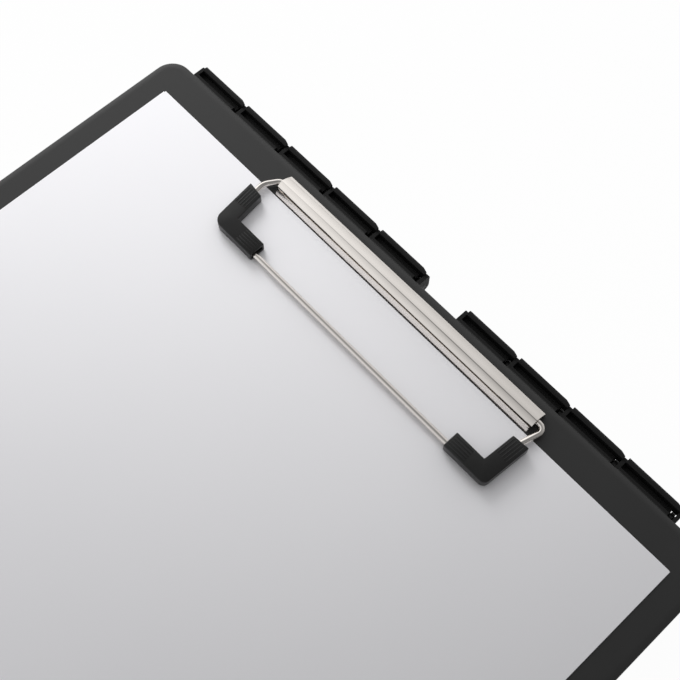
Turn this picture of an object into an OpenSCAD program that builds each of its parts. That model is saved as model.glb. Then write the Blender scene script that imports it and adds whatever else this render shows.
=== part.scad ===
// Storage clipboard box: a slim moulded tray whose lid is the writing board.
// The board carries a low nickel-plated clip with a sprung wire bail and two
// corner grips, and it swings on a knuckle hinge behind the clip.
// Frame: origin under the middle of the closed box, +Y towards the hinge, +Z up.

/* [Board] */
// Width of the writing board
board_w = 234.5; // [200:0.5:300]
// Length of the writing board, without the hinge row
board_l = 304; // [290:0.5:360]
// Thickness of the board's panel
board_t = 2; // [1.6:0.1:3]
// Depth of the board's skirt, below the writing face
skirt_h = 4.2; // [3.6:0.1:6]
// Thickness of the skirt
skirt_t = 1.4; // [1:0.1:1.6]
// Corner radius of the board, seen from above
corner_r = 7; // [5:0.5:14]
// Radius of the board's small top edge
edge_r = 0.6; // [0.3:0.1:1]
// How far the writing face falls towards that edge
edge_fall = 0.2; // [0.1:0.05:0.4]
// Width over which it falls
edge_run = 2.4; // [1.5:0.1:3]
// Height of the stiffening ribs under the board
lid_rib_h = 1; // [0.6:0.1:2]
// Thickness of those ribs
lid_rib_t = 1.2; // [0.8:0.1:2]
// From the board's front and rear edges to the ends of the long ribs
long_rib_end = 24; // [16:1:40]
// From the board's side edges to the ends of the cross ribs
cross_rib_end = 10; // [5:0.5:20]

/* [Tray] */
// Height of the closed box, from the table to the writing face
case_h = 22; // [19:0.5:45]
// Thickness of the tray's walls
wall = 2.2; // [1.8:0.1:3]
// Thickness of the tray's floor
floor_t = 2; // [1.4:0.1:4]
// Radius between the floor and the walls, inside
floor_r = 1.2; // [0.5:0.1:3]
// Radius of the tray's outer bottom edge
bottom_r = 2.5; // [1:0.5:4]
// How far the tray's walls stand back from the board's edge
tray_inset = 0.35; // [0.2:0.05:0.8]
// Thickness of the locating lip
lip_t = 0.9; // [0.7:0.1:1]
// Recess of the panel under the tray
foot_relief = 0.6; // [0.3:0.1:0.8]
// Width of the rim that the tray stands on
foot_rim = 9; // [6:1:20]

/* [Paper] */
// Width of the paper
paper_w = 215.9; // [148:0.1:216]
// Length of the paper
paper_l = 279.4; // [210:0.1:280]
// Thickness of the few sheets on the board
paper_t = 0.3; // [0.1:0.1:1]
// From the board's hinge edge to the top of the paper
paper_back = 11.9; // [11:0.1:20]

/* [Hinge] */
// Middle of the gap in the hinge row, from the middle of the board
notch_x = 6.95; // [-20:0.05:20]
// From the middle of that gap to the middle of the first rib on each side
first_rib = 8.45; // [5:0.05:15]
// Spacing of the ribs
rib_pitch = 21.1; // [15:0.1:30]
// Thickness of a rib
rib_t = 1.25; // [0.9:0.05:2]
// Plain length kept free at each end of the row
row_margin = 8; // [7:0.5:20]
// From the board's edge to the outer face of the guard bars
hinge_reach = 5.16; // [4.8:0.02:7]
// Thickness of a guard bar
bar_t = 1.7; // [1.2:0.1:2.2]
// Depth of a guard bar
bar_h = 4; // [2.5:0.1:4.2]
// Length of the cut at the outer corner of a bar's right end
bar_cut_l = 1.9; // [0.5:0.1:3]
// Depth of that cut
bar_cut = 0.7; // [0.2:0.1:1]
// How far the guard bars lie below the writing face
bar_drop = 0.3; // [0.1:0.1:1]
// How far the ribs lie below the writing face
rib_drop = 1.2; // [0.8:0.1:2]
// How far the ribs stand back from the outer face of the bars
rib_back = 0.35; // [0.2:0.05:0.8]
// Width of the ledge behind the board's edge
ledge_w = 1.5; // [1:0.1:1.8]
// How far the ledge lies below the writing face
ledge_drop = 1; // [0.6:0.1:1.6]
// Depth of the groove between the ledge and the bars
groove_d = 3.2; // [2:0.1:3.4]
// Length of the gap in the ledge beside each rib
ledge_gap = 1.8; // [1.8:0.1:3]
// From the board's edge to the hinge axis
axis_back = 2.5; // [2.4:0.05:3.5]
// From the writing face down to the hinge axis
axis_drop = 6.5; // [6.2:0.1:8]
// Diameter of the hinge rods
rod_d = 2.4; // [1.8:0.1:2.8]
// Radial clearance of the rods in the lid's ribs
rod_clear = 0.08; // [0.04:0.01:0.1]
// Radius of the tray's ears round the rods
ear_r = 2.1; // [1.9:0.05:2.3]
// Thickness of an ear
ear_t = 1.3; // [1:0.1:1.5]
// Gap between an ear and the rib beside it
ear_gap = 0.25; // [0.15:0.05:0.4]

/* [Closure] */
// Width of the lid's closing tab
tab_w = 44; // [30:1:70]
// Depth of the tab below the writing face
tab_h = 11.5; // [10:0.5:14]
// Thickness of the tab
tab_t = 1.6; // [1.2:0.1:2]
// Clear width beside the tab in the tray's finger bay
bay_side = 6; // [3:0.5:12]
// Depth of the finger bay
bay_d = 6.5; // [6:0.5:10]
// Thickness of the bay's walls behind the tray's own face
bay_skin = 0.2; // [0.1:0.05:1]
// Height of the bead on the tab
bead_r = 0.25; // [0.15:0.05:0.4]
// Gap between that bead and the catch shelf
catch_gap = 0.06; // [0.05:0.01:0.2]
// Height of the catch shelf
catch_h = 1.6; // [1:0.1:3]

/* [Pen trough] */
// Clear length of the trough, from the finger bay to the divider
trough_l = 9.3; // [6:0.1:20]
// Thickness of the divider
divider_t = 1.5; // [1:0.1:2.5]
// Height of the divider above the floor
divider_h = 10; // [5:0.5:12]
// Radius of the two finger scoops in the divider
scoop_r = 14; // [8:1:20]

/* [Clip] */
// Length of the clip's plates
clip_l = 108.6; // [80:0.2:160]
// From the top of the paper to the rear wall of the cover
cover_back = 8.4; // [8.2:0.05:10]
// Height of the shoulder where that wall bends into the rear band
shoulder_h = 1.95; // [1.6:0.05:2.4]
// Radius of that shoulder
shoulder_r = 0.6; // [0.55:0.05:1]
// Height of the cover's crease above the writing face
cover_h = 4.15; // [4.1:0.05:6]
// From the top of the paper to the crease
crease_back = 4.4; // [4:0.05:4.6]
// Radius of the cover's rear band
band_r = 12; // [6:0.5:20]
// Radius of the cover's front band
front_band_r = 6; // [4:0.1:12]
// From the crease forward to the cover's front edge
band_reach = 2.25; // [2:0.05:2.6]
// From the crease down to the cover's front edge
band_drop = 1.6; // [1.4:0.05:1.8]
// Thickness of the cover
cover_t = 0.5; // [0.4:0.05:0.6]
// Thickness of the clip's base plate
plate_t = 0.7; // [0.5:0.1:0.8]
// Height of the base plate's front lip
lip_rise = 1.9; // [1.5:0.05:2]
// Slope of that lip, which leans back
lip_slope = 61; // [55:1:75]
// Thickness of that lip
lip_plate_t = 0.45; // [0.3:0.05:0.5]
// Gap between the paper's top edge and the base plate
plate_gap = 0.72; // [0.4:0.01:1]
// Spacing of the two rivets
rivet_spacing = 30; // [20:1:34]
// From the top of the paper to the middle of a rivet
rivet_back = 4.3; // [4.2:0.05:5]
// Diameter of a rivet's shank
rivet_d = 2.8; // [2:0.1:3.2]
// Diameter of a rivet's head
rivet_head_d = 4.2; // [4:0.1:4.4]
// Height of a rivet's head
rivet_head_h = 0.8; // [0.6:0.1:0.9]
// Diameter of the washers under the board
washer_d = 8; // [6:0.5:12]
// Thickness of the washers
washer_t = 0.6; // [0.4:0.1:1]

/* [Bail] */
// Diameter of the bail's wire
wire_d = 1.9; // [1.5:0.1:2]
// From the top of the paper back to the bail's axis
bail_back = 4.9; // [4.6:0.05:5.2]
// Height of the bail's axis above the writing face
bail_z = 1.75; // [1.7:0.01:1.9]
// From the top of the paper forward to the bail's front wire
bail_reach = 18.56; // [14:0.01:30]
// Half the distance between the bail's front corners
bail_half = 54; // [38:0.1:80]
// Angle at which each leg opens outwards towards the clip
leg_splay = 7; // [0:0.5:9]
// Radius of the bends beside the clip, on the wire's centre
rear_bend_r = 2.6; // [2:0.1:4]
// Radius of the bends inside the grips, on the wire's centre
front_bend_r = 3; // [2:0.1:4]
// Length of each sprung run inside the clip
spring_run = 30; // [15:1:34]
// Diameter of the torsion springs' wire
spring_d = 0.35; // [0.3:0.05:0.4]
// Turns of a torsion spring, ending on a quarter turn where its leg leaves
spring_turns = 10.25; // [6.25:1:12.25]
// Radial clearance of the wire in its saddles
wire_clear = 0.06; // [0.04:0.01:0.1]
// Width of a saddle
saddle_w = 3; // [2:0.5:5]
// Wall of a saddle
saddle_t = 0.4; // [0.3:0.05:0.5]

/* [Grips] */
// Length of a grip's leg along the clip
grip_x = 15.7; // [10:0.1:20]
// Length of a grip's leg towards the clip
grip_y = 16.8; // [10:0.1:18]
// Width of a grip's leg
grip_w = 5.7; // [4:0.1:7]
// Height of a grip
grip_h = 3.5; // [3:0.1:5]
// Outer corner radius of a grip
grip_r = 3; // [2:0.5:4.5]
// From the front wire to the grip's front face
grip_front = 1.84; // [1.1:0.02:2.5]
// From the wire to the grip's outer face
grip_side = 3; // [1.1:0.05:3.5]
// Wall beside the mouth at each end of a grip
mouth_side = 0.9; // [0.5:0.1:1.5]
// Wall below and above that mouth
mouth_sole = 0.75; // [0.4:0.05:1.2]
// Depth of the mouth
mouth_d = 4; // [2:0.5:6]
// Gap between a grip and the paper
grip_rest = 0.1; // [0.05:0.05:0.3]
// Number of raised lines on each leg
grip_lines = 5; // [2:1:6]
// Width of a raised line
line_w = 0.4; // [0.3:0.1:0.7]
// Height of a raised line
line_h = 0.2; // [0.2:0.05:0.5]
// Length of the raised lines
line_l = 6.5; // [3:0.5:8]

/* [Hidden] */
$fn = 48;
eps = 0.01;
fit_gap = 0.3;                                   // gap between the closed lid and the tray
lip_clear = 0.25;                                // gap between the lip and the skirt
rear_y = (board_l + hinge_reach)/2 - hinge_reach; // the board's hinge edge
mid_y = rear_y - board_l/2;                      // middle of the board
front_y = rear_y - board_l;                      // the board's front edge
bay_y = front_y + tray_inset + bay_skin;         // inner skin of the tray at the finger bay
top_z = case_h;                                  // the writing face
part_z = top_z - skirt_h - fit_gap;              // top of the tray's walls
seat_z = top_z - board_t;                        // the lid's panel rests on the lip here
paper_y = rear_y - paper_back;                   // top edge of the paper
axis_y = rear_y + axis_back;
axis_z = top_z - axis_drop;
row_end = board_w/2 - row_margin;
ribs_left = floor((row_end + notch_x - first_rib)/rib_pitch);
ribs_right = floor((row_end - notch_x - first_rib)/rib_pitch);
rib_r = hinge_reach - rib_back - axis_back;      // rounded foot of a rib, round the axis
black = [0.16, 0.16, 0.155];
nickel = [0.80, 0.78, 0.73];

// ---------------------------------------------------------------- helpers

// Points of an arc about c, from angle a to angle b
function arc(c, r, a, b, n = 6) =
    [for (i = [0:n]) let (t = a + (b - a)*i/n) [c[0] + r*cos(t), c[1] + r*sin(t)]];

// Rectangle with round corners, seen from above
module round_plan(w, l, r) {
    square([w - 2*r, l], center = true);
    square([w, l - 2*r], center = true);
    for (x = [-1, 1], y = [-1, 1])
        translate([x*(w/2 - r), y*(l/2 - r)]) circle(r);
}

// Carries a rim's section round the board's outline. The section is drawn with
// x as the distance outwards from the corner centres, and y as the height.
module round_rim(w = board_w, l = board_l, r = corner_r) {
    for (side = [0:3]) {
        half_along = side % 2 == 0 ? l/2 - r : w/2 - r;
        half_across = side % 2 == 0 ? w/2 - r : l/2 - r;
        rotate(90*side) {
            translate([half_across, half_along, 0])
                rotate([90, 0, 0]) linear_extrude(2*half_along) children();
            translate([half_across, half_along, 0])
                rotate_extrude(angle = 90) children();
        }
    }
}

// Extrudes an outline drawn as (y, z) along X, from x0 to x1
module along_x(x0, x1) {
    translate([x0, 0, 0]) rotate([90, 0, 90]) linear_extrude(x1 - x0) children();
}

// ---------------------------------------------------------------- lid

// Section of the board's edge: crowned top, small radius, skirt
module lid_edge() {
    flat = corner_r - edge_run;                  // here the writing face starts to fall
    polygon(concat(
        [[flat - 1, -board_t], [flat - 1, 0], [flat, 0]],
        [for (i = [1:4]) let (t = i/5) [flat + t*(edge_run - edge_r), -edge_fall*t*t]],
        arc([corner_r - edge_r, -edge_fall - edge_r], edge_r, 80, 0, 5),
        [[corner_r, -skirt_h], [corner_r - skirt_t, -skirt_h], [corner_r - skirt_t, -board_t]]));
}

// The barrel under a bay, which turns on the rod
module barrel_plan() {
    difference() {
        translate([axis_y, axis_z]) circle(rib_r - 0.06);
        translate([axis_y, axis_z]) circle(rod_d/2 + rod_clear);
    }
}

// One rib of the hinge row: an upright plate whose foot is round the rod
module rib_plan() {
    difference() {
        union() {
            translate([axis_y, axis_z]) circle(rib_r);
            polygon([
                [rear_y - skirt_t/2, top_z - skirt_h],
                [rear_y - skirt_t/2, top_z - rib_drop],
                [rear_y + hinge_reach - rib_back - 0.7, top_z - rib_drop],
                [rear_y + hinge_reach - rib_back - 0.2, top_z - rib_drop - 0.2],
                [rear_y + hinge_reach - rib_back, top_z - rib_drop - 0.7],
                [axis_y + rib_r, axis_z],
                [axis_y, axis_z - rib_r],
                [axis_y - rib_r*cos(30), axis_z + rib_r*sin(30)]]);
        }
        translate([axis_y, axis_z]) circle(rod_d/2 + rod_clear);
    }
}

// A bay of the row, from the rib at x0 to the rib at x1: a guard bar behind a deep
// groove, and a ledge that stops short of the next rib to let the tray's ear in
module hinge_bay(x0, x1) {
    outer = rear_y + hinge_reach;
    inner = outer - bar_t;
    bar_top = top_z - bar_drop;
    bar_low = bar_top - bar_h;
    crown_r = bar_t*0.75;
    half = asin(bar_t/2/crown_r);
    crown = arc([outer - bar_t/2, bar_top - crown_r], crown_r, 90 - half, 90 + half, 6);
    ledge_z = top_z - ledge_drop;
    edge = rear_y + ledge_w;
    difference() {
        along_x(x0, x1) polygon(concat([[inner, bar_low], [outer, bar_low]], crown));
        translate([x1 - bar_cut_l, outer, bar_low - 1]) rotate(-atan2(bar_cut, bar_cut_l))
            cube([2*bar_cut_l, bar_t, bar_h + 2]);
    }
    along_x(x0, x1 - ledge_gap) polygon([
        [rear_y - skirt_t/2, bar_low],
        [inner + bar_t/2, bar_low],
        [inner + bar_t/2, top_z - groove_d],
        [edge, top_z - groove_d],
        [edge, ledge_z - 0.5],
        [edge - 0.15, ledge_z - 0.15],
        [edge - 0.5, ledge_z],
        [rear_y - skirt_t/2, ledge_z]]);
    along_x(x0, x1 - ledge_gap) barrel_plan();
}

function left_rib(k) = notch_x - first_rib - k*rib_pitch;
function right_rib(k) = notch_x + first_rib + k*rib_pitch;

module hinge_row() {
    for (k = [0:ribs_left])
        along_x(left_rib(k) - rib_t/2, left_rib(k) + rib_t/2) rib_plan();
    for (k = [0:ribs_right])
        along_x(right_rib(k) - rib_t/2, right_rib(k) + rib_t/2) rib_plan();
    for (k = [1:ribs_left])
        hinge_bay(left_rib(k) + rib_t/2 - eps, left_rib(k - 1) - rib_t/2 + eps);
    for (k = [1:ribs_right])
        hinge_bay(right_rib(k - 1) + rib_t/2 - eps, right_rib(k) - rib_t/2 + eps);
}

// Tab at the front that the fingers lift, with its small bead
module closing_tab() {
    translate([-tab_w/2, front_y, top_z - tab_h])
        cube([tab_w, tab_t, tab_h - board_t/2]);
    translate([-tab_w/4, front_y + tab_t, top_z - tab_h + 1.2])
        rotate([0, 90, 0]) cylinder(h = tab_w/2, r = bead_r, $fn = 24);
}

module lid_ribs() {
    long = board_l - 2*long_rib_end;
    wide = board_w - 2*cross_rib_end;
    for (x = [-1, 0, 1])
        translate([x*board_w/4 - lid_rib_t/2, mid_y - long/2, top_z - board_t - lid_rib_h])
            cube([lid_rib_t, long, lid_rib_h + eps]);
    for (y = [-1, 1])
        translate([-wide/2, mid_y + y*board_l/4 - lid_rib_t/2, top_z - board_t - lid_rib_h])
            cube([wide, lid_rib_t, lid_rib_h + eps]);
}

panel_in = edge_run + 0.6;                       // the flat panel ends this far inside

module lid_board() {
    color(black) difference() {
        union() {
            translate([0, mid_y, top_z]) round_rim() lid_edge();
            translate([0, mid_y, top_z - board_t]) linear_extrude(board_t)
                round_plan(board_w - 2*panel_in, board_l - 2*panel_in, corner_r - panel_in);
            hinge_row();
            closing_tab();
            lid_ribs();
        }
        rivet_places() translate([0, 0, top_z - board_t - 1]) cylinder(h = board_t + 2, d = rivet_d);
    }
}

// ---------------------------------------------------------------- tray

// Section of the tray's wall, from the floor's edge to the locating lip
module tray_wall() {
    out = corner_r - tray_inset;
    in = out - wall;
    lip_out = corner_r - skirt_t - lip_clear;
    polygon(concat(
        [[0, 0], [out - bottom_r, 0]],
        arc([out - bottom_r, bottom_r], bottom_r, -75, 0, 5),
        [[out, part_z], [lip_out, part_z], [lip_out, seat_z],
         [lip_out - lip_t, seat_z], [min(in, lip_out - lip_t), part_z - 1],
         [in, part_z - 2]],
        arc([in - floor_r, floor_t + floor_r], floor_r, 0, -90, 4),
        [[0, floor_t]]));
}

// An ear of the tray: a web from the rear wall out to the rod
module ear_plan() {
    wall_y = rear_y - tray_inset;
    difference() {
        union() {
            translate([axis_y, axis_z]) circle(ear_r);
            polygon([
                [wall_y - wall/2, axis_z - ear_r*0.86],
                [axis_y, axis_z - ear_r*0.86],
                [axis_y, axis_z + ear_r*0.6],
                [wall_y - wall/2, axis_z + ear_r*0.6]]);
        }
        translate([axis_y, axis_z]) circle(rod_d/2);
    }
}

module ear_at(rib_x) {
    x = rib_x - rib_t/2 - ear_gap;
    along_x(x - ear_t, x) ear_plan();
}

// Finger bay in the front wall, behind and below the lid's tab
module bay_walls() {
    w = tab_w + 2*bay_side + 2*wall;
    inner_y = front_y + skirt_t + lip_clear + lip_t/2;
    translate([-w/2, bay_y, floor_t/2])
        cube([w, bay_d + wall, part_z - floor_t/2]);
    translate([-w/2, inner_y, part_z - 1])
        cube([w, bay_y + bay_d + wall - inner_y, seat_z - part_z + 1]);
}

module bay_space() {
    w = tab_w + 2*bay_side;
    translate([-w/2, front_y - 2, floor_t])
        cube([w, bay_d + 2, case_h]);
}

// Catch that the tab's bead passes: a short shelf on the bay's inner wall
module catch_shelf() {
    y = front_y + tab_t + bead_r + catch_gap;
    translate([-tab_w/4 - 1, y, top_z - tab_h + 2])
        cube([tab_w/2 + 2, front_y + bay_d + eps - y, catch_h]);
}

module pen_divider() {
    y = bay_y + bay_d + wall + trough_l;
    inner_w = board_w - 2*(tray_inset + wall);
    difference() {
        translate([-inner_w/2 - eps, y, floor_t - eps])
            cube([inner_w + 2*eps, divider_t, divider_h]);
        for (x = [-1, 1])
            translate([x*inner_w/4, y - 1, floor_t + divider_h + scoop_r*0.45])
                rotate([-90, 0, 0]) cylinder(h = divider_t + 2, r = scoop_r);
    }
}

module base_tray() {
    color(black*0.9) difference() {
        union() {
            difference() {
                union() {
                    translate([0, mid_y, 0]) round_rim() tray_wall();
                    translate([0, mid_y, 0]) linear_extrude(floor_t)
                        square([board_w - 2*corner_r + eps, board_l - 2*corner_r + eps], center = true);
                    bay_walls();
                }
                bay_space();
            }
            catch_shelf();
            pen_divider();
            for (k = [0:ribs_left - 1]) ear_at(left_rib(k));
            for (k = [1:ribs_right]) ear_at(right_rib(k));
        }
        translate([0, mid_y, -eps]) linear_extrude(foot_relief)
            round_plan(board_w - 2*foot_rim, board_l - 2*foot_rim, corner_r);
    }
}

// ---------------------------------------------------------------- hinge rods

// A rod runs through every rib and ear of its group and ends inside the first rib
module rod(x0, x1) {
    color(black*0.6)
        translate([x0, axis_y, axis_z]) rotate([0, 90, 0]) cylinder(h = x1 - x0, d = rod_d);
}
module hinge_rod_left() {
    rod(left_rib(ribs_left) - rib_t/2, left_rib(0) + rib_t/2);
}
module hinge_rod_right() {
    rod(right_rib(0) - rib_t/2, right_rib(ribs_right) + rib_t/2);
}

// ---------------------------------------------------------------- clip

module rivet_places() {
    for (x = [-1, 1])
        translate([x*rivet_spacing/2, paper_y + rivet_back, 0]) children();
}

// Base plate: flat, with a front lip folded up and back
module plate_plan() {
    foot = paper_y + plate_gap;
    lean = lip_rise/tan(lip_slope);              // how far the lip leans back
    back = foot + lip_plate_t/sin(lip_slope);    // the lip's rear face at the board
    polygon([
        [foot, top_z],
        [cover_inner_back(), top_z],
        [cover_inner_back(), top_z + 0.2],
        [cover_inner_back() - 0.4, top_z + plate_t],
        [back + lean*plate_t/lip_rise, top_z + plate_t],
        [back + lean, top_z + lip_rise],
        [foot + lean + 0.1, top_z + lip_rise + 0.1],
        [foot + lean - 0.02, top_z + lip_rise - 0.04],
        [foot + 0.03, top_z + 0.1]]);
}
function cover_inner_back() = paper_y + cover_back - cover_t;

module saddle_plan() {
    difference() {
        translate([paper_y + bail_back, top_z + bail_z]) circle(wire_d/2 + wire_clear + saddle_t);
        translate([paper_y + bail_back, top_z + bail_z]) circle(wire_d/2 + wire_clear);
    }
}

module clip_base_plate() {
    color(nickel*0.92) difference() {
        union() {
            along_x(-clip_l/2 + 0.4, clip_l/2 - 0.4) plate_plan();
            for (side = [-1, 1], at = [clip_l/2 - 6, clip_l/2 - spring_run + 5])
                along_x(side*at - saddle_w/2, side*at + saddle_w/2)
                    intersection() {
                        saddle_plan();
                        translate([paper_y, top_z]) square(2*(bail_back + bail_z));
                    }
        }
        rivet_places() translate([0, 0, top_z - 1]) cylinder(h = 3, d = rivet_d);
        for (side = [-1, 1])
            translate([side*(spring_x + spring_l/2), pivot_y, top_z])
                cube([spring_l + 2, 2*spring_r, 3*plate_t], center = true);
        along_x(-clip_l/2, clip_l/2)
            translate([paper_y + bail_back, top_z + bail_z]) circle(wire_d/2 + wire_clear);
    }
}

// Middle of the arc of radius r that runs anticlockwise from p to q
function arc_middle(p, q, r) =
    let (half = norm(q - p)/2, dir = (q - p)/(2*half))
    (p + q)/2 + sqrt(r*r - half*half)*[-dir[1], dir[0]];
function arc_between(p, q, r, n) =
    let (c = arc_middle(p, q, r), a = p - c, b = q - c)
    arc(c, r, atan2(a[1], a[0]), atan2(b[1], b[0]), n);

function after_first(p) = [for (i = [1:len(p) - 1]) p[i]];

// Outer face of the cover, from its rear wall over the shoulder and the crease to the
// front edge
crease = [crease_back, cover_h];
shoulder_end = [cover_back - shoulder_r*0.6, shoulder_h + shoulder_r*0.25];
cover_line = concat(
    [[cover_back, 0]],
    arc_between([cover_back, shoulder_h - shoulder_r*0.5], shoulder_end, shoulder_r, 4),
    after_first(arc_between(shoulder_end, crease, band_r, 6)),
    after_first(arc_between(crease, crease - [band_reach, band_drop], front_band_r, 4)));

// The line p moved to its left by t, and the same points in reverse
function unit(v) = v/norm(v);
function left_of(p, i) = let (v = unit(p[i + 1] - p[i])) [-v[1], v[0]];
function moved(p, t) = [for (i = [0:len(p) - 1])
    let (a = left_of(p, max(i - 1, 0)),
         b = left_of(p, min(i, len(p) - 2)),
         m = unit(a + b))
    p[i] + m*t/(m*a)];
function reversed(p) = [for (i = [len(p) - 1:-1:0]) p[i]];

module cover_plan() {
    translate([paper_y, top_z]) polygon(concat(cover_line, reversed(moved(cover_line, cover_t))));
}

module clip_cover() {
    color(nickel) along_x(-clip_l/2, clip_l/2) cover_plan();
}

module clip_rivets() {
    color(nickel*0.85) rivet_places() {
        low = top_z - board_t - washer_t - rivet_head_h;
        translate([0, 0, low]) cylinder(h = top_z + plate_t - low, d = rivet_d);
        translate([0, 0, low]) cylinder(h = rivet_head_h, d = rivet_head_d);
        translate([0, 0, top_z + plate_t]) cylinder(h = rivet_head_h, d = rivet_head_d);
    }
}

module rivet_washers() {
    color(nickel*0.8) rivet_places() translate([0, 0, top_z - board_t - washer_t]) difference() {
        cylinder(h = washer_t, d = washer_d);
        translate([0, 0, -1]) cylinder(h = washer_t + 2, d = rivet_d);
    }
}

// ---------------------------------------------------------------- bail

wire_y = paper_y - bail_reach;                   // the front wire
pivot_y = paper_y + bail_back;                   // the bail's axis
wire_z = top_z + bail_z;
rear_x = bail_half + (bail_back + bail_reach)*tan(leg_splay); // where leg and axis would meet
rear_turn = 90 + leg_splay;
front_turn = 90 - leg_splay;
rear_run = rear_bend_r*tan(rear_turn/2);
front_run = front_bend_r*tan(front_turn/2);
leg_l = (bail_back + bail_reach)/cos(leg_splay) - rear_run - front_run;

// The right side of the bail, piece by piece. The bends are a hair thinner than the
// straight runs, which reach a little way into them.
bend_less = 0.04;
lap = 0.2;
module sprung_run(d) {
    inner_end = clip_l/2 - spring_run;
    translate([inner_end, pivot_y, wire_z]) rotate([0, 90, 0])
        cylinder(h = rear_x - rear_run - inner_end + lap, d = d, $fn = 32);
}
module rear_bend(d) {
    translate([rear_x - rear_run, pivot_y - rear_bend_r, wire_z]) rotate(90 - rear_turn)
        rotate_extrude(angle = rear_turn) translate([rear_bend_r, 0])
            circle(d = d - bend_less, $fn = 32);
}
module leg(d) {
    translate([bail_half, wire_y, wire_z]) rotate(-leg_splay)
        translate([0, front_run - lap, 0]) rotate([-90, 0, 0])
            cylinder(h = leg_l + 2*lap, d = d, $fn = 32);
}
module front_bend(d) {
    translate([bail_half - front_run, wire_y + front_bend_r, wire_z]) rotate(-90)
        rotate_extrude(angle = front_turn) translate([front_bend_r, 0])
            circle(d = d - bend_less, $fn = 32);
}
module front_wire(d) {
    translate([-bail_half + front_run - lap, wire_y, wire_z]) rotate([0, 90, 0])
        cylinder(h = 2*(bail_half - front_run + lap), d = d, $fn = 32);
}

module bail_wire() {
    color(nickel) {
        for (side = [0, 1]) mirror([side, 0, 0]) {
            sprung_run(wire_d);
            rear_bend(wire_d);
            leg(wire_d);
            front_bend(wire_d);
        }
        front_wire(wire_d);
    }
}

grip_y0 = wire_y - grip_front;                   // front face of the grips
grip_x0 = bail_half + grip_side - grip_x;        // open end of a grip's leg along the clip
grip_v = grip_y - grip_front;                    // its other open end, along the splayed leg
// A point beside the right leg: u outwards from the wire, v along it from the corner
function beside(u, v) = [bail_half + u*cos(leg_splay) + v*sin(leg_splay),
                         wire_y - u*sin(leg_splay) + v*cos(leg_splay)];
// How far along the leg the line at u passes the height y
function along_leg(u, y) = (y - wire_y + u*sin(leg_splay))/cos(leg_splay);

// A torsion spring: a helix round the sprung run, whose leg bears under the cover
spring_x = clip_l/2 - spring_run + 9;            // inner end of the right spring
spring_pitch = spring_d + 0.12;
spring_l = spring_turns*spring_pitch;
spring_r = wire_d/2 + 0.06 + spring_d/2;         // radius of the helix
module torsion_spring(per_turn = 12, corners = 6, leg = 0.8) {
    last = round(spring_turns*per_turn);
    function ring(i) =                           // corners of the wire's section at step i
        let (t = 360*min(i, last)/per_turn,
             out = [0, cos(t), sin(t)],
             middle = [spring_x + spring_pitch*min(i, last)/per_turn, 0, 0] + spring_r*out
                      + (i > last ? leg*[0, -sin(t), cos(t)] : [0, 0, 0]))
        [for (k = [0:corners - 1]) let (a = 360*k/corners)
            middle + spring_d/2*(cos(a)*[1, 0, 0] + sin(a)*out)];
    function at(i, k) = i*corners + k % corners;
    translate([0, pivot_y, wire_z]) polyhedron(
        points = [for (i = [0:last + 1]) each ring(i)],
        faces = concat(
            [[for (k = [0:corners - 1]) k]],
            [for (i = [0:last], k = [0:corners - 1]) [at(i + 1, k), at(i + 1, k + 1), at(i, k)]],
            [for (i = [0:last], k = [0:corners - 1]) [at(i + 1, k + 1), at(i, k + 1), at(i, k)]],
            [[for (k = [corners - 1:-1:0]) at(last + 1, k)]]));
}
module spring_right() {
    color(nickel*0.7) torsion_spring();
}
module spring_left() {
    color(nickel*0.7) mirror([1, 0, 0]) torsion_spring();
}

// Outline of the right grip: an L whose rear leg follows the splayed wire
module grip_plan() {
    in_u = grip_side - grip_w;
    mid = beside(grip_side - grip_r, along_leg(grip_side - grip_r, grip_y0 + grip_r));
    polygon(concat(
        [[grip_x0, grip_y0]],
        arc(mid, grip_r, -90, -leg_splay, 8),
        [beside(grip_side, grip_v),
         beside(in_u, grip_v),
         beside(in_u, along_leg(in_u, grip_y0 + grip_w)),
         [grip_x0, grip_y0 + grip_w]]));
}

// Raised lines near the open end of a leg, drawn along +X from the leg's end
module lead_lines() {
    for (i = [0:grip_lines - 1]) {
        y = grip_w*(i + 1)/(grip_lines + 1) - line_w/2;
        translate([1, y, -eps]) cube([line_l, line_w, line_h + eps]);
    }
}

module right_grip() {
    low = top_z + paper_t + grip_rest;
    mouth_w = grip_w - 2*mouth_side;
    mouth_h = grip_h - 2*mouth_sole;
    difference() {
        union() {
            translate([0, 0, low]) linear_extrude(grip_h) grip_plan();
            translate([grip_x0, grip_y0, low + grip_h]) lead_lines();
            translate(concat(beside(grip_side, grip_v), low + grip_h)) rotate(-90 - leg_splay)
                mirror([0, 1, 0]) lead_lines();
        }
        front_wire(wire_d);
        front_bend(wire_d);
        leg(wire_d);
        translate([grip_x0 - 1, grip_y0 + mouth_side, low + mouth_sole])
            cube([mouth_d + 1, mouth_w, mouth_h]);
        translate(concat(beside(grip_side - mouth_side, grip_v - mouth_d), low + mouth_sole))
            rotate(-leg_splay) translate([-mouth_w, 0, 0]) cube([mouth_w, mouth_d + 1, mouth_h]);
    }
}

module grip_right() {
    color(black) right_grip();
}
module grip_left() {
    color(black) mirror([1, 0, 0]) right_grip();
}

// ---------------------------------------------------------------- paper

module paper_sheet() {
    color("white") translate([-paper_w/2, paper_y - paper_l, top_z])
        cube([paper_w, paper_l, paper_t]);
}

base_tray();
lid_board();
hinge_rod_left();
hinge_rod_right();
clip_base_plate();
clip_cover();
clip_rivets();
rivet_washers();
spring_left();
spring_right();
bail_wire();
grip_left();
grip_right();
paper_sheet();
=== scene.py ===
# %% [markdown]
# A storage clipboard box, dressed for a product picture. The measured solids come
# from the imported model: the tray, the lid with its hinge row, the rods, the clip and
# the wire. This script gives each of them a finish, models the pieces that need soft
# edges or smooth curves, and sets up the floor, the light and the camera.

# %% Load the measured solids
import math

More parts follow.
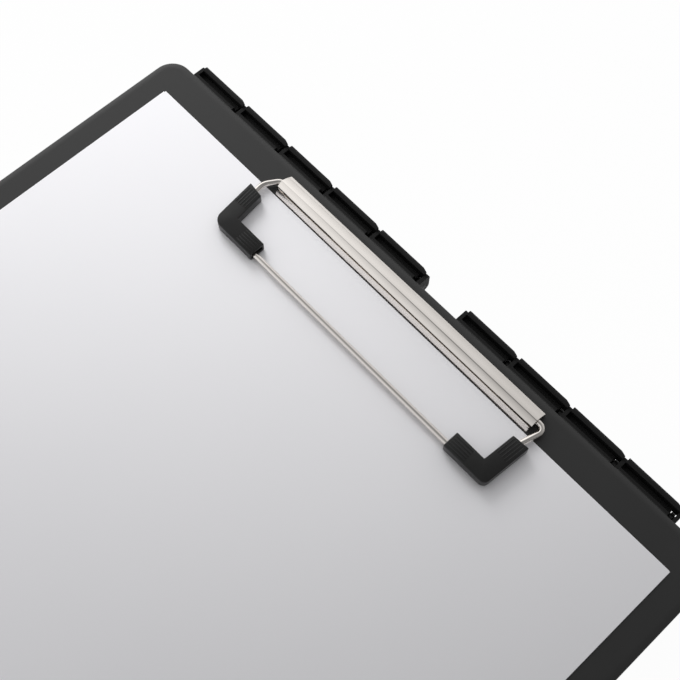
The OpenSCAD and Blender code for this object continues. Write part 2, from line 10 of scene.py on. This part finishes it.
import bmesh
import bpy
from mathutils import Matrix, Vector


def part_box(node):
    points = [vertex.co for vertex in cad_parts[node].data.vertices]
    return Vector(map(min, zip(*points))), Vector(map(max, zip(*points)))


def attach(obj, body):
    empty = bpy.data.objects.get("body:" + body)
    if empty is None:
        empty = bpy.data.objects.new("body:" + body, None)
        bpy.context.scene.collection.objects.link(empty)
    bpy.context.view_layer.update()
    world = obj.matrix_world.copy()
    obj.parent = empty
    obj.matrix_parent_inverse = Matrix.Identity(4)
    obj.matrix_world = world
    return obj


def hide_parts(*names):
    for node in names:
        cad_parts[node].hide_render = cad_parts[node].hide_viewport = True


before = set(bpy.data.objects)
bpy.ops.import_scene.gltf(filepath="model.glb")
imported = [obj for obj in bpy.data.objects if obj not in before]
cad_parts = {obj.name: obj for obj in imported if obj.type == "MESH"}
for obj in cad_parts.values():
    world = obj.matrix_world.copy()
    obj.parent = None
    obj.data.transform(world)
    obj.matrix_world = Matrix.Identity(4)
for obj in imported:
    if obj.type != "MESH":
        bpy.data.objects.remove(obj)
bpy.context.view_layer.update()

MM = 0.001
print("solids:", ", ".join(sorted(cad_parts)))

# %% [markdown]
# The places that the new pieces need are read off the solids, so that nothing has to
# be typed twice: the writing face is where the paper lies, and the clip's middle is
# where its cover is.

# %% Places
paper_low, paper_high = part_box("paper_sheet")
cover_low, cover_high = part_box("clip_cover")
grip_low, grip_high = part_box("grip_right")
face_z = paper_low.z
paper_y = paper_high.y
print(f"writing face {face_z * 1000:.2f} mm, top of the paper at {paper_y * 1000:.2f} mm")

# %% [markdown]
# Shader maths reads best as plain sums. `Signal` wraps one output socket and turns
# `a * 2 + b` into Math nodes.

# %% Sums on sockets
class Signal:
    """One output socket, so that maths on it can be written as a sum."""

    def __init__(self, nodes, socket):
        self.nodes, self.socket = nodes, socket

    def __add__(self, other):
        return self.nodes.maths("ADD", self, other)

    def __sub__(self, other):
        return self.nodes.maths("SUBTRACT", self, other)

    def __rsub__(self, other):
        return self.nodes.maths("SUBTRACT", other, self)

    def __mul__(self, other):
        return self.nodes.maths("MULTIPLY", self, other)

    __radd__ = __add__
    __rmul__ = __mul__


print("sums on sockets ready")

# %% [markdown]
# A finish and the surround are both node trees. `Nodes` makes any node from its type,
# its settings and what its sockets take, and gives back one of its outputs.

# %% Nodes of one tree
class Nodes:
    """One node tree, with the nodes that it starts with."""

    def __init__(self, tree):
        self.tree = tree
        self.ready = {node.bl_idname: node for node in tree.nodes}

    def feed(self, node, key, value):
        if isinstance(value, Signal):
            self.tree.links.new(value.socket, node.inputs[key])
        else:
            node.inputs[key].default_value = value

    def node(self, kind, settings=None, sockets=None, out=0):
        made = self.tree.nodes.new(kind)
        for key, value in (settings or {}).items():
            if key == "ramp":
                stops = made.color_ramp.elements
                for stop, (at, tone) in zip(stops, (value[0], value[-1])):
                    stop.position, stop.color = at, tone
                for at, tone in value[1:-1]:
                    stops.new(at).color = tone
            else:
                setattr(made, key, value)
        for key, value in (sockets or {}).items():
            self.feed(made, key, value)
        return Signal(self, made.outputs[out])

    def maths(self, operation, first, second, clamp=False):
        return self.node("ShaderNodeMath", {"operation": operation, "use_clamp": clamp},
                         {0: first, 1: second})


def grey(level, warmth=0.0):
    """A grey with a touch of warmth, as a colour."""
    return (level * (1 + warmth), level, level * (1 - warmth), 1)


print("nodes and greys ready")

# %% [markdown]
# `Finish` is one material. It knows the patterns that the finishes below share: noise
# of a given size in metres on the object, and relief from it. A second shader can be
# laid over its own.

# %% Finishes
class Finish(Nodes):
    """One material, with its surface shader ready to set."""

    def __init__(self, name):
        self.material = bpy.data.materials.new(name)
        self.material.use_nodes = True
        super().__init__(self.material.node_tree)
        self.shader = self.ready["ShaderNodeBsdfPrincipled"]
        self.output = self.ready["ShaderNodeOutputMaterial"]

    def place(self, scale=(1, 1, 1)):
        """The point on the object, in metres, stretched by scale."""
        point = self.node("ShaderNodeTexCoord", out=3)
        return self.node("ShaderNodeMapping", None, {"Vector": point, "Scale": scale})

    def noise(self, size, detail=2, stretch=(1, 1, 1)):
        """Even noise with features about size metres wide."""
        return self.node("ShaderNodeTexNoise", None, {
            "Vector": self.place(stretch), "Scale": 1 / size, "Detail": detail})

    def bump(self, height, distance, strength, normal=None):
        sockets = {"Height": height, "Distance": distance, "Strength": strength}
        if normal:
            sockets["Normal"] = normal
        return self.node("ShaderNodeBump", None, sockets)

    def mix(self, amount, low, high):
        """A colour between low and high."""
        return self.node("ShaderNodeMix", {"data_type": "RGBA"},
                         {0: amount, 6: low, 7: high}, out=2)

    def surface(self, **values):
        for key, value in values.items():
            self.feed(self.shader, key.replace("_", " "), value)

    def overlay(self, amount, other):
        """Shows the shader other in place of the surface, by amount."""
        own = Signal(self, self.shader.outputs[0])
        both = self.node("ShaderNodeMixShader", None, {0: amount, 1: own, 2: other})
        self.feed(self.output, "Surface", both)


print("finish helpers ready")

# %% [markdown]
# The box is injection moulded from black plastic. Its colour is very dark, and most of the
# grey that it shows is the room in its shine, which a fine grain makes soft. A Bevel node
# rounds the shading of the crisp edges by a quarter of a millimetre, as a mould does. The
# hinge row at the back is moulded duller than the board, and behind a line a second shader
# takes over. Its darker colour is painted shade, for the deep shadow in the hinge row's
# groove and on its bars.

# %% Moulded black plastic
HINGE_ROW_Y = paper_y + 12.1 * MM
ROW_BLEND = 0.25 * MM
MOULD_GRAIN, MOULD_CLOUD, MOULD_EDGE = 0.45 * MM, 30 * MM, 0.25 * MM


def moulded_black(name, level=0.012, shine=0.42, dull_shade_from_y=None):
    finish = Finish(name)
    grain = finish.noise(MOULD_GRAIN, detail=3)
    cloud = finish.noise(MOULD_CLOUD, detail=3)
    round_edges = finish.node("ShaderNodeBevel", {"samples": 4}, {"Radius": MOULD_EDGE})
    relief = finish.bump(grain, 0.03 * MM, 0.25, round_edges)
    finish.surface(
        Base_Color=finish.mix(cloud, grey(level * 0.85), grey(level * 1.2)),
        Roughness=shine - 0.05 + 0.1 * cloud,
        Specular_IOR_Level=0.7,
        Normal=relief)
    if dull_shade_from_y:
        # The darker colour here is painted shade for the hinge row's groove and bars; the lower
        # shine is the duller moulding.
        dull_and_shaded = finish.node("ShaderNodeBsdfPrincipled", None, {
            "Base Color": grey(level * 0.6), "Roughness": 0.55,
            "Specular IOR Level": 0.22, "Normal": relief})
        along = finish.node("ShaderNodeSeparateXYZ", None, {0: finish.place()}, out=1)
        row_dull_and_shade = finish.maths("MULTIPLY", along - dull_shade_from_y, 1 / ROW_BLEND, clamp=True)
        finish.overlay(row_dull_and_shade, dull_and_shaded)
    return finish.material


board_black = moulded_black("board_black", dull_shade_from_y=HINGE_ROW_Y)
tray_black = moulded_black("tray_black", shine=0.4)
print("moulded black for the board and the tray")

# %% [markdown]
# The clip is steel sheet with a bright nickel plate: a warm mirror with the faint
# streaks of the rolled sheet along its length. The streaks are noise that is squeezed
# across the clip and stretched along it.

# %% Nickel plate
STREAK_W, STREAK_STRETCH = 0.4 * MM, (0.03, 1, 1)
NICKEL_HAZE = 12 * MM


def nickel_plate(name, rough=0.09, tone=0.8):
    finish = Finish(name)
    streaks = finish.noise(STREAK_W, detail=3, stretch=STREAK_STRETCH)
    haze = finish.noise(NICKEL_HAZE)
    finish.surface(
        Base_Color=finish.mix(haze, grey(tone, 0.06), grey(tone * 1.08, 0.045)),
        Metallic=1.0,
        Roughness=rough + 0.04 * haze,
        Normal=finish.bump(streaks, 0.01 * MM, 0.12))
    return finish.material


cover_nickel = nickel_plate("cover_nickel")
plate_nickel = nickel_plate("plate_nickel", rough=0.12)
wire_nickel = nickel_plate("wire_nickel", rough=0.14, tone=0.78)
print("nickel plate for the clip and its wire")

# %% [markdown]
# Rods, rivets, washers and springs are plain hardware and hardly seen.

# %% Hardware
HARDWARE_HAZE = 3 * MM


def plain_steel(name, colour, rough):
    finish = Finish(name)
    haze = finish.noise(HARDWARE_HAZE, detail=3)
    finish.surface(
        Base_Color=finish.mix(haze, colour, tuple(0.8 * c for c in colour[:3]) + (1,)),
        Metallic=1.0,
        Roughness=rough + 0.12 * haze)
    return finish.material


rod_black = plain_steel("rod_black", grey(0.05), 0.4)
rivet_steel = plain_steel("rivet_steel", grey(0.55, 0.02), 0.3)
print("hardware finishes")

# %% [markdown]
# The grips are a softer black plastic than the board, with a satin surface.

# %% Grip plastic
GRIP_GRAIN = 0.6 * MM


def satin_black(name):
    finish = Finish(name)
    grain = finish.noise(GRIP_GRAIN, detail=3)
    finish.surface(
        Base_Color=finish.mix(grain, grey(0.005), grey(0.009)),
        Roughness=0.3 + 0.1 * grain,
        Specular_IOR_Level=0.5,
        Normal=finish.bump(grain, 0.03 * MM, 0.3))
    return finish.material


grip_black = satin_black("grip_black")
print("satin black for the grips")

# %% [markdown]
# Office paper is a matt near white. Its fibres show only as a very faint mottling.

# %% Paper
PAPER_FIBRE, PAPER_CLOUD = 0.9 * MM, 80 * MM
PAPER_TONES = (0.80, 0.795, 0.82, 1), (0.835, 0.83, 0.85, 1)


def office_paper(name):
    finish = Finish(name)
    fibre = finish.noise(PAPER_FIBRE, detail=4)
    finish.surface(
        Base_Color=finish.mix(finish.noise(PAPER_CLOUD), *PAPER_TONES),
        Roughness=0.8,
        Normal=finish.bump(fibre, 0.02 * MM, 0.25))
    return finish.material


paper_white = office_paper("paper_white")
print("paper finish")

# %% [markdown]
# Each solid that stays visible takes its finish in its material slots. Its mesh is
# left as it is.

# %% Dress the solids
FINISHES = {
    "base_tray": tray_black, "lid_board": board_black,
    "hinge_rod_left": rod_black, "hinge_rod_right": rod_black,
    "clip_base_plate": plate_nickel,
    "clip_rivets": rivet_steel, "rivet_washers": rivet_steel,
    "spring_left": rivet_steel, "spring_right": rivet_steel}

for node, material in FINISHES.items():
    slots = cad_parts[node].material_slots
    for slot in slots:
        slot.material = material
    print(node, "has", len(slots), "slot in", material.name)

# %% [markdown]
# Modelling by hand in Blender is a round of three moves: add a primitive, select some
# of its faces or edges, and run an operator on them. A script selects by place: `pick`
# marks each face or edge whose middle passes a test.

# %% Add, select and pull
SAME, NEAR = 0.001 * MM, 0.1 * MM


def only(*pieces):
    """Selects these pieces alone, and makes the last one active."""
    bpy.ops.object.select_all(action="DESELECT")
    for piece in pieces:
        piece.select_set(True)
    bpy.context.view_layer.objects.active = pieces[-1]


def add(kind, name, middle, size):
    """A primitive of the given size, alone in the selection and in edit mode."""
    bpy.ops.object.select_all(action="DESELECT")
    getattr(bpy.ops.mesh, f"primitive_{kind}_add")(size=1)
    piece = bpy.context.active_object
    piece.name = piece.data.name = name
    bpy.ops.object.mode_set(mode="EDIT")
    bpy.ops.transform.resize(value=size)
    bpy.ops.transform.translate(value=middle)
    return piece


def pick(piece, faces=None, edges=None):
    """Selects the faces by middle and normal, or the edges by middle and direction."""
    mesh = bmesh.from_edit_mesh(piece.data)
    for part in (*mesh.faces, *mesh.edges, *mesh.verts):
        part.select = False
    for face in mesh.faces if faces else ():
        if faces(face.calc_center_median(), face.normal):
            face.select_set(True)
    for edge in mesh.edges if edges else ():
        start, end = (v.co for v in edge.verts)
        if edges((start + end) / 2, (end - start).normalized()):
            edge.select_set(True)
    bmesh.update_edit_mesh(piece.data)


def pull(x, y):
    """Extrudes what is selected, and moves the new end by x and y."""
    bpy.ops.mesh.extrude_region_move(TRANSFORM_OT_translate={"value": (x, y, 0)})


print("selecting and pulling ready")

# %% [markdown]
# A piece ends with modifiers that are applied.

# %% Apply and finish
def apply(piece, kind, **settings):
    """Adds a modifier with its settings and applies it."""
    modifier = piece.modifiers.new(kind.title(), kind)
    for key, value in settings.items():
        setattr(modifier, key, value)
    only(piece)
    bpy.ops.object.modifier_apply(modifier=modifier.name)


def round_edges(piece, width, over):
    """Rounds each edge that is sharper than over degrees."""
    apply(piece, "BEVEL", width=width, segments=3, limit_method="ANGLE",
          angle_limit=math.radians(over))


def finished(piece, material, body, node, angle=30):
    only(piece)
    bpy.ops.object.shade_smooth_by_angle(angle=math.radians(angle))
    piece.data.materials.clear()
    piece.data.materials.append(material)
    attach(piece, body)
    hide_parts(node)
    print(piece.name, "has", len(piece.data.polygons), "faces")


print("modelling helpers ready")

# %% [markdown]
# The clip's cover is one strip of sheet steel. It stands up from the board, bends over
# a tight shoulder into the rear band, folds along the crease and ends in the front band.
# Its section is worked out first, as points along three arcs.

# %% Section of the clip cover
SHOULDER_H, SHOULDER_R = 1.95 * MM, 0.6 * MM
BAND_R, FRONT_BAND_R = 12 * MM, 6 * MM
CREASE_BACK = 4.15 * MM
FRONT_REACH, FRONT_DROP = 2.0 * MM, 1.6 * MM


def arc_points(start, end, radius, steps):
    """Points (y, z) after start, up to end, on an arc that turns to the left."""
    start, end = Vector(start), Vector(end)
    half = (end - start).length / 2
    along = (end - start) / (2 * half)
    rise = math.sqrt(radius ** 2 - half ** 2)
    middle = (start + end) / 2 + rise * Vector((-along.y, along.x))
    first = math.atan2(*(start - middle).yx)
    turn = 2 * math.asin(half / radius)
    angles = [first + turn * i / steps for i in range(1, steps + 1)]
    return [middle + radius * Vector((math.cos(a), math.sin(a))) for a in angles]


rear_y, crease_z = cover_high.y, cover_high.z
crease = (paper_y + CREASE_BACK, crease_z)
foot = (rear_y, face_z + SHOULDER_H - 0.5 * SHOULDER_R)
shoulder = (rear_y - 0.6 * SHOULDER_R, face_z + SHOULDER_H + 0.25 * SHOULDER_R)
front = (crease[0] - FRONT_REACH, crease_z - FRONT_DROP)
section = (arc_points(foot, shoulder, SHOULDER_R, 6) + arc_points(shoulder, crease, BAND_R, 12)
           + arc_points(crease, front, FRONT_BAND_R, 10))
print("the cover's section has", len(section), "points")

# %% [markdown]
# The strip starts as a low wall. Its upper edge is pulled from point to point along the
# section, the crease is rounded, and the sheet gets its thickness and soft cut edges.

# %% Clip cover
SHEET, SHEET_EDGE, CREASE_ROUND = 0.5 * MM, 0.12 * MM, 0.18 * MM


def clip_cover():
    wall = foot[1] - face_z
    middle = (0, rear_y, face_z + wall / 2)
    cover = add("plane", "cover_sheet", middle, (cover_high.x - cover_low.x, wall, 1))
    bpy.ops.transform.rotate(value=math.radians(-90), orient_axis="X", center_override=middle)
    pick(cover, edges=lambda at, way: at.z > foot[1] - NEAR and abs(way.x) > 0.9)
    here = Vector(foot)
    for point in section:
        bpy.ops.mesh.extrude_edges_move(
            TRANSFORM_OT_translate={"value": (0, point.x - here.x, point.y - here.y)})
        here = point
    pick(cover, edges=lambda at, way: abs(way.x) > 0.9 and at.z > crease_z - SAME)
    bpy.ops.mesh.bevel(offset=CREASE_ROUND, segments=6, profile=0.5)
    bpy.ops.mesh.select_all(action="SELECT")
    bpy.ops.mesh.normals_make_consistent(inside=False)
    bpy.ops.object.mode_set(mode="OBJECT")
    up = sum(1 for face in cover.data.polygons if face.normal.z > 0)
    outward = 1 if up > len(cover.data.polygons) / 2 else -1
    apply(cover, "SOLIDIFY", thickness=SHEET, offset=-outward)
    round_edges(cover, SHEET_EDGE, 55)
    return cover


finished(clip_cover(), cover_nickel, "lid", "clip_cover", angle=25)

# %% [markdown]
# The bail is one length of round wire. On a bender it would be fed straight and turned
# round a peg at each corner, and it is made that way here: a disc is extruded along each
# straight run and spun round the middle of each bend. The photograph shows that its two
# legs aren't bent quite alike, so each corner has its own place.

# %% Bail wire
WIRE_D, WIRE_END = 1.9 * MM, 24.3 * MM
BAIL_BACK, BAIL_Z, GRIP_FRONT = 4.9 * MM, 1.75 * MM, 1.84 * MM
axis_y, wire_y, wire_z = paper_y + BAIL_BACK, grip_low.y + GRIP_FRONT, face_z + BAIL_Z
# For each stop along the wire: x, y and the radius of its bend.
STOPS = (
    (-WIRE_END, axis_y, 0),
    (-55.3 * MM, axis_y, 3 * MM), (-58.7 * MM, 137.2 * MM, 5 * MM), (-55.7 * MM, wire_y, 3 * MM),
    (54.5 * MM, wire_y, 3 * MM), (55.5 * MM, 134.2 * MM, 8 * MM), (57.7 * MM, axis_y, 2 * MM),
    (WIRE_END, axis_y, 0))


def wire_disc(x, y):
    """The wire's round end, looking along x, in edit mode."""
    bpy.ops.object.select_all(action="DESELECT")
    bpy.ops.mesh.primitive_circle_add(vertices=24, radius=WIRE_D / 2, fill_type="NGON")
    wire = bpy.context.active_object
    wire.name = wire.data.name = "wire_bail"
    bpy.ops.object.mode_set(mode="EDIT")
    bpy.ops.transform.rotate(value=math.pi / 2, orient_axis="Y", center_override=(0, 0, 0))
    bpy.ops.transform.translate(value=(x, y, wire_z))
    return wire


def bent_wire():
    corners, radii = [Vector(stop[:2]) for stop in STOPS], [stop[2] for stop in STOPS]
    wire = wire_disc(*corners[0])
    spent = 0.0
    for i in range(1, len(corners)):
        run = corners[i] - corners[i - 1]
        ahead = run.normalized()
        turn, cut = 0.0, 0.0
        if i < len(corners) - 1:
            turn = run.angle_signed(corners[i + 1] - corners[i])
            cut = radii[i] * math.tan(abs(turn) / 2)
        pull(*(ahead * (run.length - spent - cut)))
        if turn:
            side = 1 if turn < 0 else -1
            centre = corners[i] - ahead * cut + side * radii[i] * Vector((-ahead.y, ahead.x))
            bpy.ops.mesh.spin(steps=max(4, round(abs(turn) * 8)), angle=abs(turn),
                              center=(*centre, wire_z), axis=(0, 0, -side))
        spent = cut
    bpy.ops.mesh.select_all(action="SELECT")
    bpy.ops.mesh.remove_doubles(threshold=SAME)
    bpy.ops.mesh.normals_make_consistent(inside=False)
    bpy.ops.object.mode_set(mode="OBJECT")
    return wire


wire = bent_wire()
for axis, name in enumerate("xyz"):
    spots = [v.co[axis] * 1000 for v in wire.data.vertices]
    print(f"the wire's {name} runs from {min(spots):.1f} to {max(spots):.1f} mm")
finished(wire, wire_nickel, "bail", "bail_wire")

# %% [markdown]
# The corner grips are moulded caps that are pushed on the wire's corners. They have fine
# raised lines on top near both ends, and each line is a small bar with soft upper edges.

# %% One raised line
LINES, LINE_START, LINE_ROOM = 5, 0.8 * MM, 0.2 * MM
LINE_H, LINE_W, LINE_L, LINE_EDGE = 0.12 * MM, 0.4 * MM, 6.5 * MM, 0.1 * MM


def grip_line(start, turn):
    """One raised line on a grip's top, from its start point along turn."""
    line = add("cube", "line", (LINE_L / 2, 0, 0), (LINE_L, LINE_W, 2 * LINE_H))
    pick(line, edges=lambda at, way: at.z > 0)
    bpy.ops.mesh.bevel(offset=LINE_EDGE, segments=2)
    bpy.ops.mesh.select_all(action="SELECT")
    bpy.ops.transform.rotate(value=-turn, orient_axis="Z", center_override=(0, 0, 0))
    bpy.ops.transform.translate(value=start)
    bpy.ops.object.mode_set(mode="OBJECT")
    return line


print(f"a raised line is {LINE_L * 1000:.1f} mm long")

# %% [markdown]
# A grip is an L with a round outer corner and an open mouth at each end, where the wire
# runs in. It is modelled from a cube, on the right, round its own corner of the wire: one
# arm is pulled along the wire's front run and the other along its leg, which splays.

# %% One corner grip
GRIP_SIDE, GRIP_W, GRIP_EDGE = 3 * MM, 5.7 * MM, 0.35 * MM
MOUTH_RIM, MOUTH_DEPTH = 0.8 * MM, 4 * MM


def corner_grip(name, corner_x, splay, corner_r):
    splay = math.radians(splay)
    sin, cos, tan = math.sin(splay), math.cos(splay), math.tan(splay)
    near_y, bend_y, top = grip_low.y, grip_low.y + GRIP_W, grip_high.z - LINE_ROOM
    mid_z = (grip_low.z + top) / 2

    def leg_edge(side, y):
        """X of a leg's edge at y, which lies side outside the wire's middle line."""
        return corner_x + side / cos + (y - wire_y) * tan

    outer, inner = leg_edge(GRIP_SIDE, bend_y), leg_edge(GRIP_SIDE - GRIP_W, bend_y)
    grip = add("cube", name, ((inner + outer) / 2, (near_y + bend_y) / 2, mid_z),
               (outer - inner, GRIP_W, top - grip_low.z))
    pick(grip, edges=lambda at, way:
         abs(way.z) > 0.9 and at.x > outer - SAME and at.y < near_y + SAME)
    bpy.ops.transform.translate(value=(leg_edge(GRIP_SIDE, near_y) - outer, 0, 0))
    pick(grip, faces=lambda at, n: n.x < -0.9)
    pull(grip_low.x - inner, 0)
    reach = grip_high.y - bend_y - GRIP_W / 2 * sin
    pick(grip, faces=lambda at, n: n.y > 0.9 and at.x > inner)
    pull(reach * tan, reach)
    leg_end = Vector(((inner + outer) / 2 + reach * tan, bend_y + reach, mid_z))
    bpy.ops.transform.rotate(value=-splay, orient_axis="Z", center_override=leg_end)
    pick(grip, edges=lambda at, way:
         abs(way.z) > 0.9 and at.x > inner + 1 * MM and at.y < near_y + NEAR)
    bpy.ops.mesh.bevel(offset=corner_r, segments=8)
    ends = (Vector((grip_low.x, near_y + GRIP_W / 2, mid_z)), leg_end)
    pick(grip, faces=lambda at, n: min((at - end).length for end in ends) < NEAR)
    bpy.ops.mesh.inset(thickness=MOUTH_RIM, use_individual=True)
    for end, way in zip(ends, ((1, 0), (-sin, -cos))):
        pick(grip, faces=lambda at, n, end=end: (at - end).length < NEAR)
        pull(MOUTH_DEPTH * way[0], MOUTH_DEPTH * way[1])
    bpy.ops.object.mode_set(mode="OBJECT")
    round_edges(grip, GRIP_EDGE, 40)
    lines = []
    for i in range(LINES):
        across = GRIP_W * (i + 1) / (LINES + 1)
        aside = across - GRIP_W / 2
        lines.append(grip_line((grip_low.x + LINE_START, near_y + across, top), 0))
        lines.append(grip_line((leg_end.x + aside * cos - LINE_START * sin,
                                leg_end.y - aside * sin - LINE_START * cos, top),
                               -math.pi / 2 - splay))
    only(*lines, grip)
    bpy.ops.object.join()
    return grip


print(f"a grip's arm is {GRIP_W * 1000:.1f} mm wide")

# %% [markdown]
# The two grips sit on corners that aren't bent alike, so each gets its own x of the
# corner, splay in degrees and outer radius. The left one is then mirrored over.

# %% Both grips
def mirror_over(piece):
    """Turns a piece into its mirror image on the other side of the middle."""
    only(piece)
    bpy.ops.object.mode_set(mode="EDIT")
    bpy.ops.mesh.select_all(action="SELECT")
    bpy.ops.transform.resize(value=(-1, 1, 1), center_override=(0, 0, 0))
    bpy.ops.mesh.normals_make_consistent(inside=False)
    bpy.ops.object.mode_set(mode="OBJECT")


grip_right = corner_grip("grip_cap_right", 54.4 * MM, 4, 2 * MM)
grip_left = corner_grip("grip_cap_left", 55.6 * MM, 7, 3 * MM)
mirror_over(grip_left)
finished(grip_right, grip_black, "bail", "grip_right")
finished(grip_left, grip_black, "bail", "grip_left")

# %% [markdown]
# The paper is a few sheets laid by hand, so their edges don't line up quite. Each sheet
# is a thin slab that is shifted and turned by a hair, and the top one nearly touches the
# clip at its left end. Together they fill the height of the measured slab.

# %% Sheets of paper
# For each sheet, from the lowest: its shift in y in millimetres, and its turn in degrees.
SHEETS = ((0.05, 0.02), (-0.2, -0.05), (0.15, 0.06), (0.34, -0.11))
LEAF_EDGE = 0.2


def paper_sheets():
    middle, size = (paper_low + paper_high) / 2, paper_high - paper_low
    thick = size.z / len(SHEETS)
    leaves = []
    for i, (shift, turn) in enumerate(SHEETS):
        leaf = add("cube", "leaf", (middle.x, middle.y, face_z + (i + 0.5) * thick),
                   (size.x, size.y, thick))
        bpy.ops.transform.rotate(value=math.radians(-turn), orient_axis="Z",
                                 center_override=middle)
        bpy.ops.transform.translate(value=(0, shift * MM, 0))
        pick(leaf, edges=lambda at, way: abs(way.z) < 0.1)
        bpy.ops.mesh.bevel(offset=LEAF_EDGE * thick, segments=2)
        bpy.ops.object.mode_set(mode="OBJECT")
        leaves.append(leaf)
    only(*leaves)
    bpy.ops.object.join()
    stack = bpy.context.active_object
    stack.name = stack.data.name = "paper_leaves"
    return stack


finished(paper_sheets(), paper_white, "lid", "paper_sheet")

# %% [markdown]
# The picture is taken on a white sweep, so the floor is a pale plane. The camera sees
# mostly its white glow, shiny pieces mirror a little of it, and it still takes a weak
# shadow.

# %% Floor
FLOOR_SIDE, FLOOR_SEEN, FLOOR_MIRRORED = 6, 0.97, 0.3


def pale_floor():
    bpy.ops.object.select_all(action="DESELECT")
    bpy.ops.mesh.primitive_plane_add(size=FLOOR_SIDE, location=(0, 0, 0))
    floor = bpy.context.active_object
    floor.name = "floor"
    finish = Finish("floor_white")
    finish.surface(Base_Color=grey(0.7), Roughness=0.9)
    to_camera = finish.node("ShaderNodeLightPath", out=0)
    to_shine = finish.node("ShaderNodeLightPath", out=3)
    white = finish.node("ShaderNodeEmission", None, {"Color": grey(1.0), "Strength": 1.0})
    finish.overlay(to_camera * FLOOR_SEEN + to_shine * FLOOR_MIRRORED, white)
    floor.data.materials.append(finish.material)


pale_floor()
print("floor ready")

# %% [markdown]
# The light is a soft box far to the left and a wide one overhead. What shines doesn't
# mirror the boxes, which would leave hard sparks on the thin wire.

# %% Soft boxes
# For each box: its place, the point that it faces, its side in metres and its power.
SOFT_BOXES = {
    "overhead": ((-0.17, 0.24, 0.308), (-0.28, 0.445, 0.02), 0.5, 0.46),
    "key_light": ((-0.5, 0.32, 0.32), (-0.08, 0.1, 0.02), 0.26, 1.5)}

for name, (place, aim, side, watts) in SOFT_BOXES.items():
    lamp = bpy.data.lights.new(name, "AREA")
    lamp.shape = "RECTANGLE"
    lamp.size = lamp.size_y = side
    lamp.energy = watts
    holder = bpy.data.objects.new(name, lamp)
    bpy.context.scene.collection.objects.link(holder)
    holder.location = place
    holder.rotation_euler = (Vector(aim) - Vector(place)).to_track_quat("-Z", "Y").to_euler()
    holder.visible_glossy = False
    print(name, "is", side, "m wide")

# %% [markdown]
# The metal mirrors the surround, a pale sweep: bright at the horizon and dim overhead, so
# that the crease of the clip shows as a line. It is brighter on the left, with one broad
# glow there, where the boxes are. The camera itself sees a plain light grey.

# %% Surround
# From the horizon to straight up: how high, as the sine of the angle, and how bright.
SWEEP = ((0.0, 0.7), (0.34, 0.8), (0.5, 0.75), (0.63, 0.69),
         (0.74, 0.62), (0.83, 0.49), (0.91, 0.27), (1.0, 0.25))
MIDDLE_LIGHT, SIDE_FALL = 0.83, 0.6
GLOW, GLOW_WAY, GLOW_POWER = 0.75, (-0.82, 0.29, 0.49), 12


def surround():
    world = bpy.data.worlds.new("surround")
    bpy.context.scene.world = world
    world.use_nodes = True
    room = Nodes(world.node_tree)
    back = room.ready["ShaderNodeBackground"]
    way = room.node("ShaderNodeTexCoord")
    across = room.node("ShaderNodeSeparateXYZ", None, {0: way})
    height = room.node("ShaderNodeSeparateXYZ", None, {0: way}, out=2)
    facing = room.node("ShaderNodeVectorMath", {"operation": "DOT_PRODUCT"},
                       {0: way, 1: GLOW_WAY}, out=1)
    glow = room.maths("POWER", room.maths("MAXIMUM", facing, 0), GLOW_POWER)
    room.feed(back, "Color", room.node(
        "ShaderNodeValToRGB", {"ramp": [(at, grey(tone)) for at, tone in SWEEP]}, {0: height}))
    room.feed(back, "Strength", MIDDLE_LIGHT - SIDE_FALL * across + GLOW * glow)
    to_camera = room.node("ShaderNodeLightPath")
    plain = room.node("ShaderNodeBackground", None, {"Color": grey(0.8), "Strength": 1.0})
    both = room.node("ShaderNodeMixShader", None, {
        0: to_camera, 1: Signal(room, back.outputs[0]), 2: plain})
    room.feed(room.ready["ShaderNodeOutputWorld"], "Surface", both)


surround()
print("surround ready")

# %% [markdown]
# The camera looks down at the clip's corner of the board from the reader's right. Its
# place was worked out from the edges of the paper and the hinge row.

# %% Camera
AZIMUTH, ELEVATION, DISTANCE = 47.12, 65.72, 0.3423
TARGET = Vector((-0.0034, 0.1191, face_z))
LENS, SENSOR, CLIP_START = 61.2, 36, 0.01

turn, lift = math.radians(AZIMUTH), math.radians(ELEVATION)
towards = Vector((math.sin(turn) * math.cos(lift), -math.cos(turn) * math.cos(lift),
                  math.sin(lift)))
camera = bpy.data.objects.new("camera", bpy.data.cameras.new("camera"))
camera.data.sensor_width, camera.data.lens = SENSOR, LENS
camera.data.clip_start = CLIP_START
bpy.context.scene.collection.objects.link(camera)
camera.location = TARGET + DISTANCE * towards
camera.rotation_euler = (-towards).to_track_quat("-Z", "Y").to_euler()
bpy.context.scene.camera = camera
bpy.context.scene.view_settings.view_transform = "Standard"
print("camera at", [round(c, 4) for c in camera.location])

# %% Done
print("scene set up")
